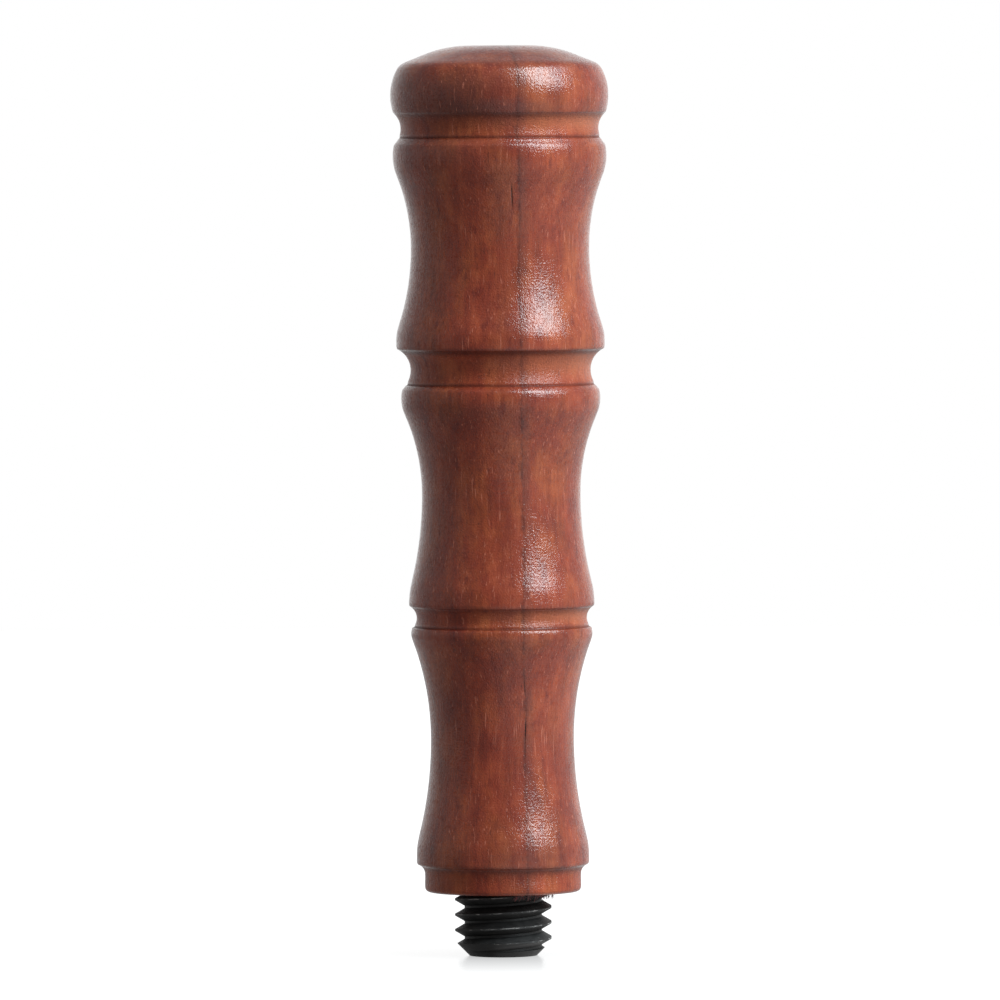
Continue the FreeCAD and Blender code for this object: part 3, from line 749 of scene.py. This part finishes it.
def table_white():
    """White, glossy round the foot.  It is bright to look at, and throws back only as much
    light as a real sweep would."""
    made = bpy.data.materials.new("table_white")
    made.use_nodes = True
    s = Shader(made.node_tree)
    place = s.millimetres()
    x, y = s.apart(place)[:2]
    sheen = s.add("ShaderNodeBsdfGlossy")
    sheen.inputs["Roughness"].default_value = FLOOR_GLOSS
    spot = s.ramp(s.math("DIVIDE", s.vector("LENGTH", place), GLOSS_REACH), *GLOSS_STOPS)
    matt = s.add("ShaderNodeBsdfDiffuse")
    s.put(matt.inputs["Color"], FLOOR_MATT)
    both = s.add("ShaderNodeAddShader")
    s.put(both.inputs[0], s.emission(1.0, FLOOR_SEEN))
    s.put(both.inputs[1], matt.outputs[0])
    seen = s.mixed_shaders(spot, both.outputs[0], sheen.outputs[0])
    thrown = s.emission(by_bearing(s, x, y, FLOOR_LIGHT))
    looked_at = s.add("ShaderNodeLightPath").outputs["Is Camera Ray"]
    output = s.add("ShaderNodeOutputMaterial")
    s.put(output.inputs["Surface"], s.mixed_shaders(looked_at, thrown, seen))
    return made


def floor():
    """A round white table."""
    ring = [(FLOOR_RADIUS * math.cos(2 * math.pi * n / FLOOR_SIDES),
             FLOOR_RADIUS * math.sin(2 * math.pi * n / FLOOR_SIDES), 0)
            for n in range(FLOOR_SIDES)]
    mesh = bpy.data.meshes.new("floor")
    mesh.from_pydata(ring, [], [tuple(range(FLOOR_SIDES))])
    piece = piece_from("floor", mesh)
    paint(piece, table_white())


def softbox(name, target, azimuth, height, size, distance, radiance):
    """A rectangular light aimed at the target."""
    light = bpy.data.lights.new(name, "AREA")
    light.shape = "RECTANGLE"
    light.size, light.size_y = size
    light.energy = radiance * math.pi * size[0] * size[1]
    light.color = LAMP_COLOUR
    piece = bpy.data.objects.new(name, light)
    a, h = math.radians(azimuth), math.radians(height)
    away = Vector((math.sin(a) * math.cos(h), -math.cos(a) * math.cos(h), math.sin(h)))
    piece.location = target + away * distance
    piece.rotation_euler = away.to_track_quat("Z", "Y").to_euler()
    piece.visible_camera = False
    bpy.context.scene.collection.objects.link(piece)


def studio_world():
    """White to look at.  As light, bright behind the object and dim towards the camera."""
    world = bpy.data.worlds.new("studio")
    bpy.context.scene.world = world
    world.use_nodes = True
    s = Shader(world.node_tree)
    x, y, z = s.apart(s.add("ShaderNodeTexCoord").outputs["Generated"])
    up = s.ramp(z, *HIGH_STOPS)
    light = s.add("ShaderNodeBackground")
    s.put(light.inputs["Color"], s.mix(up, by_bearing(s, x, y, LEVEL_LIGHT), HIGH_LIGHT))
    plain = s.add("ShaderNodeBackground")
    s.put(plain.inputs["Color"], 1.0)
    looked_at = s.add("ShaderNodeLightPath").outputs["Is Camera Ray"]
    output = s.add("ShaderNodeOutputWorld")
    s.put(output.inputs["Surface"],
          s.mixed_shaders(looked_at, light.outputs[0], plain.outputs[0]))


def camera():
    """A long lens a metre away, level with the head and tipped down a little."""
    data = bpy.data.cameras.new("camera")
    data.lens, data.sensor_width = LENS, SENSOR
    data.clip_start, data.clip_end = CLIP
    piece = bpy.data.objects.new("camera", data)
    pitch, roll = math.radians(CAMERA_PITCH), math.radians(CAMERA_ROLL)
    turn = Euler((math.pi / 2 + pitch, 0, 0)).to_matrix() @ Matrix.Rotation(roll, 3, "Z")
    piece.matrix_world = Matrix.Translation(CAMERA_PLACE) @ turn.to_4x4()
    bpy.context.scene.collection.objects.link(piece)
    bpy.context.scene.camera = piece


# ---------------------------------------------------------------- build

camera()
handle = lathe("wooden_handle")
paint(handle, stained_wood())
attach(handle, "root")
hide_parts("turned_handle")

fibres = torn_fibres("torn_fibres")
paint(fibres, torn_wood())
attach(fibres, "root")

paint(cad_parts["threaded_stud"], black_oxide())
paint(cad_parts["thread_adhesive"], set_adhesive())

floor()
middle = Vector((0, 0, (cad_box[0][2] + cad_box[1][2]) / 2))
softbox("key", middle, **KEY)
softbox("rim", middle, **RIM)
studio_world()
view = bpy.context.scene.view_settings
view.view_transform = "Standard"
view.look = "None"
